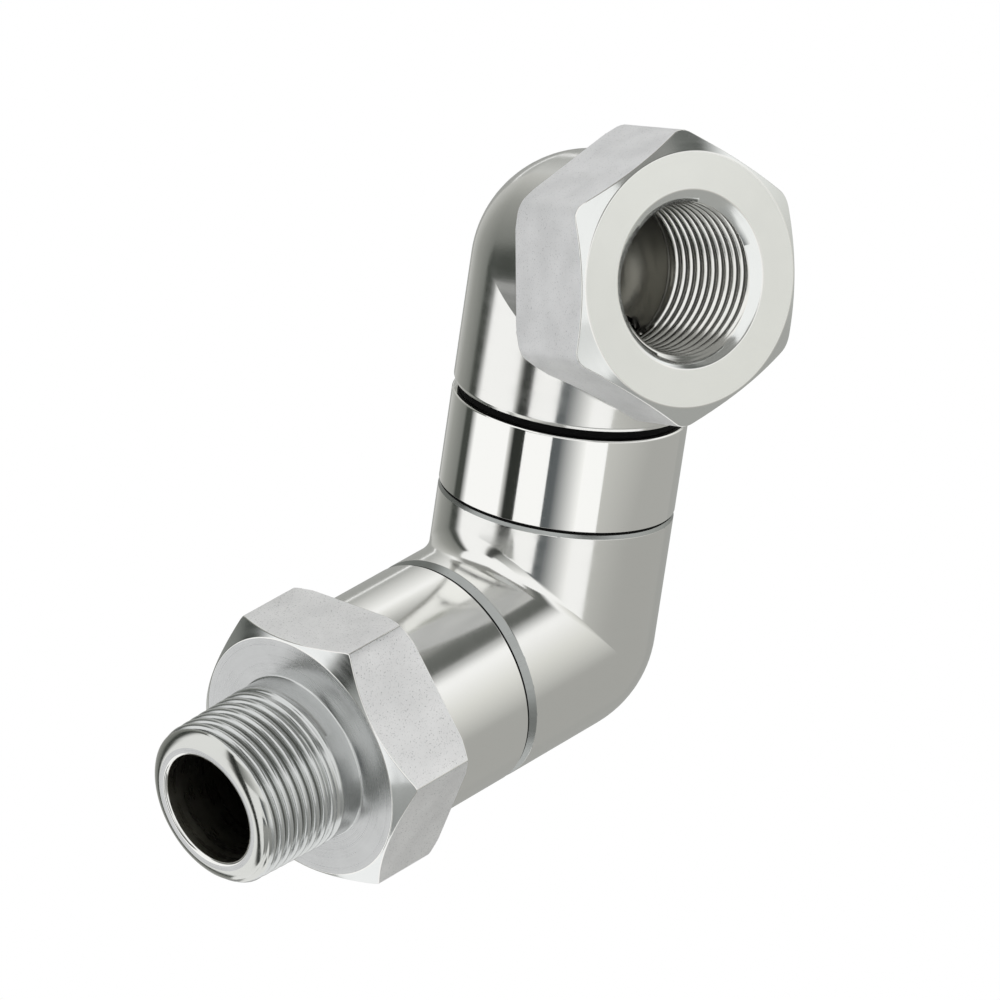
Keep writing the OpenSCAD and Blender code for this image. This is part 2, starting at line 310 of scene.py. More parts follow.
# The nipple's rolled end: a smooth bright rim round the dark bore.
lip_inlet = turned_metal(
    "rolled_lip_inlet", on_inlet, "#d8d9d5",
    roughness=0.13, anisotropy=0.1, ring_mm=0.35, depth=0.0006, mottle=0.03,
)
# Drilled in one pass: deep, coarse rings in a darker grey.
drilled_inlet = turned_metal(
    "drilled_bore_inlet", on_inlet, "#94938c",
    roughness=0.30, anisotropy=0.6, ring_mm=1.1, depth=0.0120, mottle=0.07,
)
# Mouth chamfers that the buff doesn't reach: a dull grey line at each mouth.
dull_mouth = turned_metal(
    "dull_mouth_chamfer", on_swivel, "#a9acaa",
    roughness=0.30, anisotropy=0.0, ring_mm=0.60, depth=0.0010, mottle=0.06,
)
print("metals", len(bpy.data.materials))

# %% [markdown]
# ### Matt flats, bores and small parts
#
# The hexagons' flats are milled, then blasted with grit, so they are matt with dark
# specks where a pit catches no light. The bores are only drilled and look dark. The cored
# chamber, the hole below it and the feet of the thread grooves get darker greys: painted
# shade. The parts inside are bronze, acetal, spring steel and nitrile rubber: common
# grades, each with a light surface of its own kind.


# %% Matt and plain finishes
PIT_START = 0.59
PIT_END = 0.72
CLOUD_MM = 6.0


def grained(name, colour, dark, metallic, roughness, grain_mm, depth, specks=0.0, ior=1.5, cloudy=0.18):
    """A surface with a random grain, dark pits (specks) and broad dark clouds (cloudy)."""
    material, tree, shader = new_material(
        name, Base_Color=linear(colour), Metallic=metallic, Roughness=roughness
    )
    if metallic == 0:
        shader.inputs["IOR"].default_value = ior
        shader.inputs["Specular IOR Level"].default_value = 0.15
    place = add(tree, "ShaderNodeTexCoord").outputs["Object"]
    fine = add(
        tree,
        "ShaderNodeTexNoise",
        {"Vector": place},
        {"Scale": 1 / (grain_mm * MM), "Detail": 2.0, "Roughness": 0.6},
    ).outputs["Fac"]
    broad = add(
        tree, "ShaderNodeTexNoise", {"Vector": place}, {"Scale": 1 / (CLOUD_MM * MM), "Detail": 3.0}
    ).outputs["Fac"]
    pits = add(
        tree,
        "ShaderNodeMapRange",
        {"Value": fine},
        {"From Min": PIT_START, "From Max": PIT_END, "To Min": 0.0, "To Max": specks},
    ).outputs["Result"]
    cloud = add(
        tree,
        "ShaderNodeMapRange",
        {"Value": broad},
        {"From Min": 0.3, "From Max": 0.7, "To Min": 0.0, "To Max": cloudy},
    ).outputs["Result"]
    stain = add(tree, "ShaderNodeMath", {0: pits, 1: cloud}, operation="ADD").outputs["Value"]
    mixed = add(
        tree,
        "ShaderNodeMix",
        {"Factor": stain},
        {6: linear(colour), 7: linear(dark)},
        data_type="RGBA",
    )
    tree.links.new(mixed.outputs[2], shader.inputs["Base Color"])
    bump = add(
        tree, "ShaderNodeBump", {"Height": fine}, {"Strength": 1.0, "Distance": depth * MM}
    ).outputs["Normal"]
    tree.links.new(bump, shader.inputs["Normal"])
    return material


# Milled, then blasted with grit: pale and matt, with dark pits. They are drawn 0.24 mm wide,
# which is coarser than the real grit's, so that they show.
blasted_flats = grained(
    "blasted_nickel_flats", "#fafafa", "#a0a1a1",
    metallic=0.85, roughness=0.40, grain_mm=0.24, depth=0.018, specks=0.7,
)
# The same blast on the socket: paler and more even, with fainter pits.
blasted_socket = grained(
    "blasted_nickel_socket", "#fafafa", "#a8a9a9",
    metallic=0.30, roughness=0.48, grain_mm=0.24, depth=0.016, specks=0.5, cloudy=0.22,
)
# Bored and left so: a plain grey, with faint darker clouds.
bored_steel = grained(
    "drilled_steel_bore", "#c2c1ba", "#8f8e88",
    metallic=1.0, roughness=0.38, grain_mm=0.5, depth=0.004,
)
# Cored out and plated: a smooth wall that mirrors a soft patch of the tent. Its grey is darker than the plated
# outside: painted shade for the dim chamber.
cored_chamber_painted_shade = grained(
    "cored_chamber_painted_shade", "#c3c2bc", "#acaba5",
    metallic=0.85, roughness=0.20, grain_mm=1.5, depth=0.002,
)
# The hole drilled on down: nearly black, painted shade, as light doesn't reach it.
deep_bore_painted_shade = grained(
    "deep_bore_painted_shade", "#4a4a47", "#333330",
    metallic=1.0, roughness=0.45, grain_mm=1.5, depth=0.003,
)
# Painted shade in the foot of the nipple's grooves: a dull grey line.
nipple_root_painted_shade = grained(
    "nipple_groove_foot_painted_shade", "#a3a5a2", "#85877f",
    metallic=1.0, roughness=0.40, grain_mm=0.4, depth=0.002,
)
# Painted shade in the foot of the socket's grooves: a dark line under each crest.
socket_root_painted_shade = grained(
    "socket_groove_foot_painted_shade", "#5f5f5b", "#3f3f3c",
    metallic=1.0, roughness=0.40, grain_mm=0.4, depth=0.002,
)
# Moulded nitrile rubber: black, with hardly any shine.
nitrile = grained(
    "black_nitrile", "#030303", "#010101",
    metallic=0.0, roughness=0.80, grain_mm=0.25, depth=0.006, specks=0.2, ior=1.48,
)
# Natural acetal, turned: milky white with a waxy sheen.
acetal = grained(
    "acetal_white", "#e9e7e1", "#d5d2c9",
    metallic=0.0, roughness=0.40, grain_mm=0.30, depth=0.002, specks=0.1, ior=1.48,
)
# Turned bearing bronze: warm brown-gold, with a soft shine.
bronze = grained(
    "turned_bronze", "#c49a5a", "#8d6a38",
    metallic=1.0, roughness=0.32, grain_mm=0.40, depth=0.002, specks=0.2,
)
# Hardened spring steel, oiled: blue-grey, with a wet shine.
spring_steel = grained(
    "spring_steel_oiled", "#8e9196", "#53565a",
    metallic=1.0, roughness=0.30, grain_mm=0.40, depth=0.002, specks=0.2,
)
print("finishes", [material.name for material in bpy.data.materials])

# %% [markdown]
# ## Ways to make a turned piece
#
# Nearly everything here was made on a lathe, so the meshes are made as a lathe makes them.
# An outline spun round +Z gives a closed ring. A rim can also be grown from ring to ring,
# where each ring's radius and height may follow the angle: that is how a round neck turns
# into a hexagon with the same edges running through both. Edges that should catch the light
# get a bevel weight, and a Bevel modifier rounds those alone.

# %% Lathe, rim and finishing helpers
SIDES = 216
EDGE_WEIGHT = "bevel_weight_edge"
MERGE = 0.002


def spin_outline(bm, outline, closed=True, sides=SIDES):
    """Spins an outline of (radius, height) points round +Z into a ring or a shell."""
    verts = [bm.verts.new((radius, 0, height)) for radius, height in outline]
    ends = verts[1:] + verts[:1] if closed else verts[1:]
    edges = [bm.edges.new(pair) for pair in zip(verts, ends)]
    bmesh.ops.spin(
        bm, geom=verts + edges, axis=(0, 0, 1), cent=(0, 0, 0), angle=2 * math.pi,
        steps=sides, use_merge=True,
    )
    bmesh.ops.remove_doubles(bm, verts=bm.verts[:], dist=MERGE)


def at_angle(value, angle):
    """A ring's radius or height, which is a number or a function of the angle."""
    return value(angle) if callable(value) else value


def grow(bm, rim, radius, height, material=0):
    """Extrudes a rim of edges to a new ring round +Z and gives the new rim."""
    made = bmesh.ops.extrude_edge_only(bm, edges=rim)["geom"]
    verts = {item for item in made if isinstance(item, bmesh.types.BMVert)}
    for vert in verts:
        angle = math.atan2(vert.co.y, vert.co.x)
        reach = at_angle(radius, angle)
        vert.co = (reach * math.cos(angle), reach * math.sin(angle), at_angle(height, angle))
    for item in made:
        if isinstance(item, bmesh.types.BMFace):
            item.material_index = material
    edges = [item for item in made if isinstance(item, bmesh.types.BMEdge)]
    return [edge for edge in edges if edge.verts[0] in verts and edge.verts[1] in verts]


def mark_edges(bm, angle_deg, keep=lambda edge: True):
    """Gives a bevel weight to each edge that bends more than angle_deg and that keep lets through."""
    weight = bm.edges.layers.float.get(EDGE_WEIGHT) or bm.edges.layers.float.new(EDGE_WEIGHT)
    limit = math.radians(angle_deg)
    marked = 0
    for edge in bm.edges:
        if len(edge.link_faces) == 2 and edge.calc_face_angle(0) > limit and keep(edge):
            edge[weight] = 1.0
            marked += 1
    return marked


def make_piece(bm, name, place, materials, edge_mm=0.12, segments=3, edge_material=-1):
    """Stands a finished bmesh on its axis, in metres, as a smooth object with rounded edges.

    The rounded edges take the material in the slot edge_material, or their faces' own at -1.
    """
    bmesh.ops.remove_doubles(bm, verts=bm.verts[:], dist=MERGE)
    bmesh.ops.recalc_face_normals(bm, faces=bm.faces[:])
    open_edges = sum(1 for edge in bm.edges if len(edge.link_faces) != 2)
    bmesh.ops.transform(bm, matrix=Matrix.Scale(MM, 4) @ place, verts=bm.verts[:])
    for face in bm.faces:
        face.smooth = True
    mesh = bpy.data.meshes.new(name)
    bm.to_mesh(mesh)
    bm.free()
    piece = bpy.data.objects.new(name, mesh)
    bpy.context.scene.collection.objects.link(piece)
    for material in materials:
        mesh.materials.append(material)
    if edge_mm:
        bevel = piece.modifiers.new("rounded_edges", "BEVEL")
        bevel.limit_method = "WEIGHT"
        bevel.width = edge_mm * MM
        bevel.segments = segments
        bevel.material = edge_material
        bevel.use_clamp_overlap = False
        bevel.harden_normals = True
    print(name, len(mesh.polygons), "faces,", open_edges, "open edges")
    return piece


# %% [markdown]
# ## Pipe threads
#
# A 3/4-inch taper pipe thread has 14 turns to the inch and loses 1 mm of diameter for every 16 mm
# of length. It could be faked with a bump, but a thread's crests make its outline. So the
# whole row of crests is spun once round while it rises by one pitch, which joins each crest
# to the next. The wall is trimmed square at both ends, and then each point's radius is set:
# the taper narrows it, the lead chamfer cuts the crests, and at the other end the roots rise
# until the thread runs out.

# %% A helical thread wall
PITCH = 25.4 / 14
TAPER = 1 / 32
THREAD_DEPTH = 1.05
THREAD_FORM = [
    (0.0, 0.0), (0.06, 0.07), (0.14, 0.36), (0.23, 0.74), (0.32, 0.93),
    (0.5, 1.0), (0.68, 0.93), (0.77, 0.74), (0.86, 0.36), (0.94, 0.07),
]
SOCKET_FORM = [
    (0.0, 0.0), (0.12, 0.1), (0.24, 0.5), (0.34, 0.88), (0.5, 1.0), (0.66, 0.88), (0.76, 0.5), (0.88, 0.1),
]


def thread_wall(bm, start, end, root, crest, form, shape, first_angle):
    """Spins a thread from start to end along +Z, and sets each radius by shape(radius, height)."""
    turns = math.ceil((end - start) / PITCH) + 1
    profile = [
        (root + (crest - root) * rise, start + PITCH * (turn - 1 + part))
        for turn in range(turns + 1)
        for part, rise in form
    ]
    verts = [bm.verts.new((radius, 0, height)) for radius, height in profile]
    edges = [bm.edges.new(pair) for pair in zip(verts, verts[1:])]
    turn_to = Matrix.Rotation(first_angle, 3, "Z")
    bmesh.ops.rotate(bm, verts=verts, matrix=turn_to, cent=(0, 0, 0))
    bmesh.ops.spin(
        bm, geom=verts + edges, axis=(0, 0, 1), cent=(0, 0, 0), dvec=(0, 0, PITCH / SIDES),
        angle=2 * math.pi, steps=SIDES,
    )
    bmesh.ops.remove_doubles(bm, verts=bm.verts[:], dist=MERGE * 5)
    for height, low in ((start, True), (end, False)):
        bmesh.ops.bisect_plane(
            bm, geom=bm.verts[:] + bm.edges[:] + bm.faces[:], dist=MERGE,
            plane_co=(0, 0, height), plane_no=(0, 0, 1), clear_inner=low, clear_outer=not low,
        )
    for vert in bm.verts:
        now = math.hypot(vert.co.x, vert.co.y)
        wanted = shape(now, vert.co.z)
        vert.co.x *= wanted / now
        vert.co.y *= wanted / now
    rims = [edge for edge in bm.edges if len(edge.link_faces) == 1]
    lower = [edge for edge in rims if abs(edge.verts[0].co.z - start) < 0.05]
    upper = [edge for edge in rims if abs(edge.verts[0].co.z - end) < 0.05]
    print("thread", turns - 1, "turns, rims of", len(lower), "and", len(upper), "edges")
    return lower, upper


# %% [markdown]
# ## The inlet adapter
#
# Nipple, hexagon and bearing barrel are one piece of bar, so they are one mesh. It begins
# with the thread. From the thread's outer end the rim is grown round the lip and into the
# bore. From its inner end it is grown down the neck, out over the turned face, over the
# hexagon with its two turned chamfers, and along the barrel into the bearing's seat. The two
# rims meet in the bore and are bridged.

# %% Sizes of the adapter, from the frame
BARREL_R = 37.5 / 2
PASSAGE_R = 9.0
HEX_APOTHEM = 40.5 / 2
HEX_CORNER = HEX_APOTHEM / math.cos(math.pi / 6)
HEX_TURN = math.radians(35)
NIPPLE_LENGTH = 20.05
INLET_HEX = 14.5
adapter_low, adapter_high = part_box("inlet_adapter")
nipple_end = crossing.x - adapter_low.x / MM
hex_front = nipple_end - NIPPLE_LENGTH
hex_rear = hex_front - INLET_HEX
barrel_mouth = LEG + SWIVEL_GAP
print("nipple's end", round(nipple_end, 2), "hexagon", round(hex_rear, 2), round(hex_front, 2))


def hexagon(turn, corner_r):
    """The radius of a hexagon at an angle, with a corner rounded to corner_r at the angle turn."""
    sixth = math.pi / 3
    centre = (HEX_APOTHEM - corner_r) / math.cos(sixth / 2)

    def radius(angle):
        from_corner = (angle - turn + sixth / 2) % sixth - sixth / 2
        flat = HEX_APOTHEM / math.cos(sixth / 2 - abs(from_corner))
        offset = centre * math.sin(from_corner)
        if abs(offset) > corner_r / 2:
            return flat
        return min(flat, centre * math.cos(from_corner) + math.sqrt(corner_r**2 - offset**2))

    return radius


# %% [markdown]
# ### Hexagons and bearings
#
# Both hexagons are milled from turned blanks, whose chamfers meet the flats in curves. Both
# swivels have the same bearing, a row of counterbores: a seat for the thrust washer, one for
# the bush, the retaining ring's groove and a bore for the o-rings. Each is written once, as
# rings to grow or an outline to spin, so that the two of a kind can't differ.

# %% Rings over a hexagon, and the bearing's outline
THREADED, POLISHED, TURNED, FLATS, BORE, ROOT, CHAMFER, LIP = range(8)
REAR_SLOPE = math.tan(math.radians(60))
WASHER_SEAT_R = 15.8
WASHER_FLOOR = 1.1
BUSH_SEAT_R = 14.8
BUSH_FLOOR = 4.5
RING_SLOT_R = 15.0
RING_SLOT = (5.1, 6.8)
BEARING_R = 13.65
BEARING_FLOOR = 15.1
bearing = [
    (radius, LEG + depth)
    for radius, depth in (
        (WASHER_SEAT_R, WASHER_FLOOR), (BUSH_SEAT_R, WASHER_FLOOR), (BUSH_SEAT_R, BUSH_FLOOR),
        (BEARING_R, BUSH_FLOOR), (BEARING_R, RING_SLOT[0]), (RING_SLOT_R, RING_SLOT[0]),
        (RING_SLOT_R, RING_SLOT[1]), (BEARING_R, RING_SLOT[1]), (BEARING_R, BEARING_FLOOR),
        (PASSAGE_R, BEARING_FLOOR),
    )
]


def hexagon_rings(radius_at, face_r, front, chamfer, rear, rear_chamfer):
    """The rings down a hexagon's front chamfer, along its flats and over its rear chamfer."""
    slope = (HEX_CORNER - face_r) / chamfer
    rear_r = HEX_CORNER - rear_chamfer * REAR_SLOPE
    return [
        (radius_at, lambda a: front - (radius_at(a) - face_r) / slope, CHAMFER),
        (radius_at, lambda a: rear + max(0, (radius_at(a) - rear_r) / REAR_SLOPE), FLATS),
        (lambda a: min(radius_at(a), rear_r), rear, TURNED),
    ]


print("bearing", len(bearing), "points, hexagon", 2 * HEX_APOTHEM, "mm across its flats")

# %% [markdown]
# ### The adapter's surface
#
# The nipple ends in a rounded lip and runs out into a smooth neck with a small root radius,
# because a sharp corner there would crack. Points are pushed in or out to that shape once
# the thread is spun, and the grooves' feet get a darker grey of their own: painted shade
# where each groove closes in.

# %% The adapter's outside and bore
NECK = 3.6
NECK_R = 13.45
CREST_R = 13.05
LIP_R = 10.3
LIP_REACH = (2.65, 1.8)
LIP_ROUND = 1.5
LIP_STEPS = (0.5, 0.3, 0.16, 0.06, 0)
INLET_CORNER = 0.7
FACE_R = 20.0
FRONT_CHAMFER = 2.5
REAR_CHAMFER = 0.9
RUN_OUT_SLOPE = 0.26
NECK_SLOPE = 0.2
NECK_ROOT = ((0.0, 1.8), (0.0, 0.3), (0.06, 0.1), (0.2, 0.02))
ROLLED_SHARE = 0.8
BORE_JOIN = 20


def lip(depth):
    """The rounded lip's radius at a depth behind the nipple's end."""
    left = max(0, 1 - depth / LIP_REACH[1])
    return LIP_R + LIP_REACH[0] * (1 - left**LIP_ROUND) ** (1 / LIP_ROUND)


def nipple_shape(radius, height):
    """The nipple's radius: a tapered thread behind a rounded lip, run out into the neck."""
    depth = nipple_end - height
    past_neck = height - hex_front - NECK
    tapered = radius + depth * TAPER
    run_out = NECK_R - past_neck * RUN_OUT_SLOPE
    cone = NECK_R + past_neck * NECK_SLOPE
    rounded = lip(depth) if depth < LIP_REACH[1] else cone
    return min(max(tapered, run_out), cone, rounded)


def shade_roots(bm, crest_at, low, high, share, root_material):
    """Paints shade into the foot of each thread groove between two heights, with the root material."""
    for face in bm.faces:
        centre = face.calc_center_median()
        below = abs(crest_at(centre.z) - math.hypot(centre.x, centre.y))
        if low < centre.z < high and below > THREAD_DEPTH * share:
            face.material_index = root_material


bm = bmesh.new()
neck_rim, lip_rim = thread_wall(
    bm, hex_front + NECK, nipple_end - LIP_STEPS[0], CREST_R - THREAD_DEPTH, CREST_R, THREAD_FORM,
    nipple_shape, HEX_TURN,
)
# Painted shade: the feet of the nipple's grooves take the darker root grey.
shade_roots(
    bm, lambda height: CREST_R + (nipple_end - height) * TAPER,
    hex_front + NECK, nipple_end - LIP_REACH[1], 0.72, ROOT,
)
for face in bm.faces:
    if face.calc_center_median().z > nipple_end - LIP_REACH[1] * ROLLED_SHARE:
        face.material_index = LIP
hex_radius = hexagon(HEX_TURN, INLET_CORNER)
outside = [
    *[(NECK_R + out, hex_front + up, THREADED) for out, up in NECK_ROOT],
    (NECK_R + 0.4, hex_front, TURNED),
    (FACE_R - 3, hex_front, TURNED),
    (FACE_R, hex_front, TURNED),
    *hexagon_rings(hex_radius, FACE_R, hex_front, FRONT_CHAMFER, hex_rear, REAR_CHAMFER),
    (BARREL_R, hex_rear, TURNED),
    (BARREL_R, barrel_mouth, POLISHED),
    (WASHER_SEAT_R, barrel_mouth, TURNED),
    *[(radius, height, BORE) for radius, height in bearing],
    (PASSAGE_R, LEG + BORE_JOIN, BORE),
]
inside = [
    *[(lip(step), nipple_end - step, LIP) for step in LIP_STEPS[1:]],
    (PASSAGE_R + 0.5, nipple_end, TURNED),
    (PASSAGE_R + 0.15, nipple_end - 0.12, POLISHED),
    (PASSAGE_R, nipple_end - 0.5, POLISHED),
    (PASSAGE_R, nipple_end - BORE_JOIN, BORE),
]
for radius, height, material in outside:
    neck_rim = grow(bm, neck_rim, radius, height, material)
for radius, height, material in inside:
    lip_rim = grow(bm, lip_rim, radius, height, material)
bmesh.ops.bridge_loops(bm, edges=neck_rim + lip_rim)
for face in bm.faces:
    centre = face.calc_center_median()
    if centre.z < nipple_end - BORE_JOIN and math.hypot(*centre.xy) < PASSAGE_R:
        face.material_index = BORE
mark_edges(bm, 24, lambda edge: min(v.co.z for v in edge.verts) < hex_front + 0.01)
adapter = make_piece(
    bm, "inlet_adapter_turned", on_inlet,
    [
        thread_inlet, polished_inlet, turned_inlet, blasted_flats, drilled_inlet, nipple_root_painted_shade,
        chamfer_inlet, lip_inlet,
    ],
    edge_material=POLISHED,
)
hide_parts("inlet_adapter")
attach(adapter, "inlet")

# %% [markdown]
# ## The elbows
#
# Each elbow is two pipes that meet at a mitre, with a ball for the outer corner and a soft
# fillet in the inner one. Half of it is a round thing, so it can be spun: leg, mouth, journal
# and bore on one outline, with a quarter circle for the ball. A plane then trims it at the
# mitre, and the trimmed rim is carried along a fillet's arc. The other half is made the same
# way and turned into place, so that the two rims meet point for point. Edges farther than
# OFF_MITRE from the elbow's centre belong to a mouth, and only those are broken.

# %% The half elbow
BALL_STEPS = 28
FILLET = 4.2
FILLET_STEPS = 8
FILLET_FADE = 2.4
OFF_MITRE = 24
half_turn = BEND / 2
mitre_normal = Vector((math.sin(half_turn), 0, math.cos(half_turn)))


def quarter(radius):
    """A quarter circle from the pole below to the equator, as outline points."""
    steps = [math.pi / 2 * step / BALL_STEPS for step in range(BALL_STEPS + 1)]
    return [(radius * math.sin(angle), -radius * math.cos(angle)) for angle in steps]


def trim_at_mitre(bm):
    """Cuts a spun leg at the mitre plane and keeps the leg's side."""
    bmesh.ops.bisect_plane(
        bm, geom=bm.verts[:] + bm.edges[:] + bm.faces[:], dist=MERGE,
        plane_co=(0, 0, 0), plane_no=mitre_normal, clear_inner=True,
    )


def fillet_rim(bm, pipe_r):
    """Carries the outer rim of a trimmed leg along a fillet that fades towards its ends."""
    rim = [
        edge for edge in bm.edges
        if len(edge.link_faces) == 1
        and min(math.hypot(*vert.co.xy) for vert in edge.verts) > pipe_r - 1
    ]
    foot = {}
    for vert in {vert for edge in rim for vert in edge.verts}:
        blend = FILLET * max(0, -vert.co.x / pipe_r) ** FILLET_FADE
        vert.co.z += blend * math.tan(half_turn)
        foot[vert] = (vert.co.copy(), blend)
    for step in range(1, FILLET_STEPS + 1):
        swing = half_turn * step / FILLET_STEPS
        made = bmesh.ops.extrude_edge_only(bm, edges=rim)["geom"]
        verts = {item for item in made if isinstance(item, bmesh.types.BMVert)}
        for vert in verts:
            before = [edge.other_vert(vert) for edge in vert.link_edges]
            place, blend = next(foot[other] for other in before if other not in verts)
            foot[vert] = (place, blend)
            vert.co.x = place.x - blend * (1 - math.cos(swing))
            vert.co.z = place.z - blend * math.sin(swing)
        edges = [item for item in made if isinstance(item, bmesh.types.BMEdge)]
        rim = [edge for edge in edges if edge.verts[0] in verts and edge.verts[1] in verts]
    bmesh.ops.remove_doubles(bm, verts=bm.verts[:], dist=MERGE)


def add_mesh_of(bm, other):
    """Moves all of another bmesh into bm."""
    mesh = bpy.data.meshes.new("joined")
    other.to_mesh(mesh)
    other.free()
    bm.from_mesh(mesh)
    bpy.data.meshes.remove(mesh)


# %% [markdown]
# ### The middle elbow
#
# Each leg has a chamfered mouth, a groove for the dust seal, and a journal with a snap-ring
# groove, two gas-seal glands and a step for the rear bush. The inlet's mouth has the wider
# chamfer of the two.

# %% The middle elbow
MOUTH_CHAMFER = (0.8, 1.5)
UPPER_CHAMFER = (0.35, 0.65)
JOURNAL_R = 13.6
STEP_R = 12.5
GLAND_R = 12.15
GLANDS = ((7.4, 9.4), (10.0, 12.0))
REAR_STEP = 12.6
JOURNAL_REACH = 15.05
JOURNAL_CHAMFER = 0.6
SEAL_IN_R = 16.3
SEAL_OUT_R = 17.3
SEAL_DEPTH = 1.1
BORED, MOUTH = 1, 2
to_second_leg = Matrix.Rotation(BEND - math.pi, 4, "Y") @ Matrix.Rotation(math.pi, 4, "Z")
second_leg = to_second_leg.to_3x3() @ Vector((0, 0, 1))


def groove(radius, span):
    """A groove round the journal, between two heights over the mouth."""
    return [(JOURNAL_R, span[0]), (radius, span[0]), (radius, span[1]), (JOURNAL_R, span[1])]


journal = [
    (JOURNAL_R, 0), *groove(STEP_R, RING_SLOT), *groove(GLAND_R, GLANDS[0]), *groove(GLAND_R, GLANDS[1]),
    (JOURNAL_R, REAR_STEP), (STEP_R, REAR_STEP), (STEP_R, JOURNAL_REACH - JOURNAL_CHAMFER),
    (STEP_R - JOURNAL_CHAMFER, JOURNAL_REACH), (PASSAGE_R, JOURNAL_REACH),
]


def half_elbow(outline):
    """Half an elbow: an open outline spun into a leg, trimmed at the mitre and filleted."""
    bm = bmesh.new()
    spin_outline(bm, outline, closed=False)
    trim_at_mitre(bm)
    fillet_rim(bm, BARREL_R)
    return bm


def middle_leg(chamfer):
    """A leg of the middle elbow, with its chamfered mouth and its journal."""
    mouth = [(BARREL_R, LEG - chamfer[1]), (BARREL_R - chamfer[0], LEG)]
    seal_foot = LEG - SEAL_DEPTH
    seal_groove = [(SEAL_OUT_R, LEG), (SEAL_OUT_R, seal_foot), (SEAL_IN_R, seal_foot), (SEAL_IN_R, LEG)]
    stub = [(radius, LEG + height) for radius, height in journal]
    return half_elbow(quarter(BARREL_R) + mouth + seal_groove + stub + quarter(PASSAGE_R)[::-1])


def join_legs(bm, second):
    """Turns the second leg to its place beyond the mitre and merges the two."""
    bmesh.ops.transform(second, matrix=to_second_leg, verts=second.verts[:])
    add_mesh_of(bm, second)
    bmesh.ops.remove_doubles(bm, verts=bm.verts[:], dist=MERGE * 4)


bm = middle_leg(UPPER_CHAMFER)
join_legs(bm, middle_leg(MOUTH_CHAMFER))
for face in bm.faces:
    centre = face.calc_center_median()
    if max(math.hypot(vert.co.x, vert.co.y) for vert in face.verts) < PASSAGE_R + 0.1:
        face.material_index = BORED
    for axis, chamfer in ((Vector((0, 0, 1)), UPPER_CHAMFER), (second_leg, MOUTH_CHAMFER)):
        along = centre.dot(axis)
        if LEG - chamfer[1] < along < LEG and (centre - axis * along).length > BARREL_R - chamfer[0]:
            face.material_index = MOUTH
mark_edges(bm, 20, lambda edge: max(vert.co.length for vert in edge.verts) > OFF_MITRE)
middle = make_piece(
    bm, "middle_elbow_polished", on_swivel, [polished_middle, bored_steel, dull_mouth], 0.08
)
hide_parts("middle_elbow")
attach(middle, "middle")

# %% [markdown]
# ### The outlet elbow and its hexagon socket
#
# The second elbow is bored out for the collar's spigot below and cored to a wide chamber
# behind the socket. Its hexagon is a bar of its own outline, so it is grown from the
# internal thread, as the adapter is grown from its nipple.

# %% The outlet elbow's body
SOCKET_REACH = 26.35
OUTLET_HEX = 17.9
THREAD_FOOT = 6.25
SLEEVE_R = 14.5
SPIGOT_R = 30.5 / 2
SPIGOT_HOLE_R = SPIGOT_R + 0.05
SPIGOT_ROOM = 6.6
SOCKET_STUB = 17.0

bm = half_elbow(quarter(BARREL_R) + [
    (BARREL_R, OUTLET_LEG - UPPER_CHAMFER[1]), (BARREL_R - UPPER_CHAMFER[0], OUTLET_LEG),
    (SPIGOT_HOLE_R, OUTLET_LEG), (SPIGOT_HOLE_R, OUTLET_LEG - SPIGOT_ROOM),
    (SLEEVE_R, OUTLET_LEG - SPIGOT_ROOM),
] + quarter(SLEEVE_R)[::-1])
join_legs(bm, half_elbow(
    quarter(BARREL_R) + [(BARREL_R, SOCKET_STUB), (SLEEVE_R, SOCKET_STUB)] + quarter(SLEEVE_R)[::-1]
))
mark_edges(bm, 20, lambda edge: max(vert.co.length for vert in edge.verts) > OFF_MITRE)
outlet = make_piece(bm, "outlet_elbow_polished", on_outlet, [polished_outlet])
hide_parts("outlet_elbow")
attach(outlet, "outlet")

# %% [markdown]
# ### The chamber
#
# Behind its thread the real socket is cored out: an undercut where the thread tool ran out,
# a ball end, and a hole drilled down to the collar's spigot. A boolean could cut it from the
# elbow, but it would leave ragged faces. So the chamber is a shell of its own: its outline
# is spun, planes cut the hole's edge into it, and a Solidify modifier gives it a wall.

# %% The chamber behind the socket
BALL_R = 12.65
BALL_TOP = 3.1
UNDERCUT_R = 12.95
UNDERCUT_FOOT = 3.4
CHAMBER_SIDES = 144
HOLE_R = 9.2
HOLE_SIDES = 48
HOLE_TOP = 2
RAGGED = 0.01
CHAMBER_WALL = 1.2


def off_side(point):
    """How far a point lies out from +Z, square to the nearest side of the hole."""
    side = 2 * math.pi / HOLE_SIDES
    from_side = (math.atan2(point.y, point.x) + side / 2) % side - side / 2
    return math.hypot(point.x, point.y) * math.cos(from_side)


def cut_hole(bm, foot):
    """Cuts a round hole round +Z through the lower side of a shell and bores it on to foot."""
    for side in range(HOLE_SIDES):
        angle = 2 * math.pi * side / HOLE_SIDES
        out = Vector((math.cos(angle), math.sin(angle), 0))
        near = [face for face in bm.faces if face.calc_center_median().z > HOLE_TOP]
        edges = {edge for face in near for edge in face.edges}
        verts = {vert for face in near for vert in face.verts}
        bmesh.ops.bisect_plane(
            bm, geom=list(verts) + list(edges) + near, dist=MERGE, plane_co=out * HOLE_R, plane_no=out,
        )
    within = [
        face for face in bm.faces
        if face.calc_center_median().z > 0 and off_side(face.calc_center_median()) < HOLE_R
    ]
    bmesh.ops.delete(bm, geom=within, context="FACES")
    rim = [
        edge for edge in bm.edges
        if len(edge.link_faces) == 1
        and max(abs(off_side(vert.co) - HOLE_R) for vert in edge.verts) < RAGGED
    ]
    print("hole rim", len(rim), "edges")
    grow(bm, rim, HOLE_R, foot, BORED)


